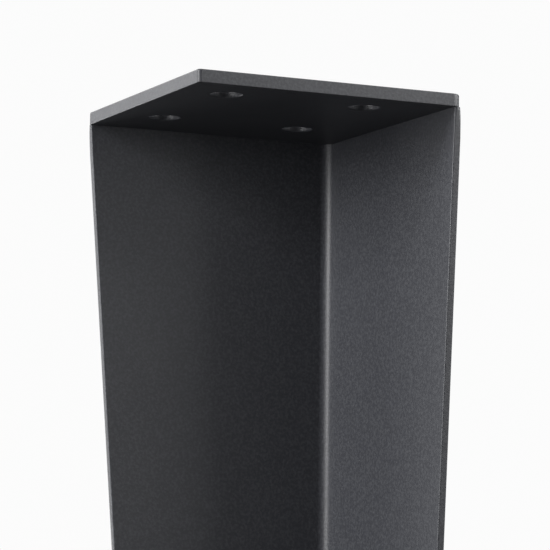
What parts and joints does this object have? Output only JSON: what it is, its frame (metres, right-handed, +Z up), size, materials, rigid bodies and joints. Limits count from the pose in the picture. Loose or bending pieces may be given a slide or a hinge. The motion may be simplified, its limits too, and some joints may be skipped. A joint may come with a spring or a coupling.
{
  "type": "table leg",
  "caption": "Black steel table leg: a tapered sheet folded into an angle under a square plate with four screw holes.",
  "frame": {"origin": "middle of the plate's upper face, which meets the table top", "axes": "+Z up into the table top; the fold is towards +X +Y and the open inside of the angle faces -X -Y"},
  "size_m": [0.11, 0.11, 0.71],
  "materials": {
    "black_coat": "fine-texture black powder coat, satin"
  },
  "bodies": {
    "root": {"angle_leg": "black_coat", "top_plate": "black_coat"}
  },
  "joints": []
}
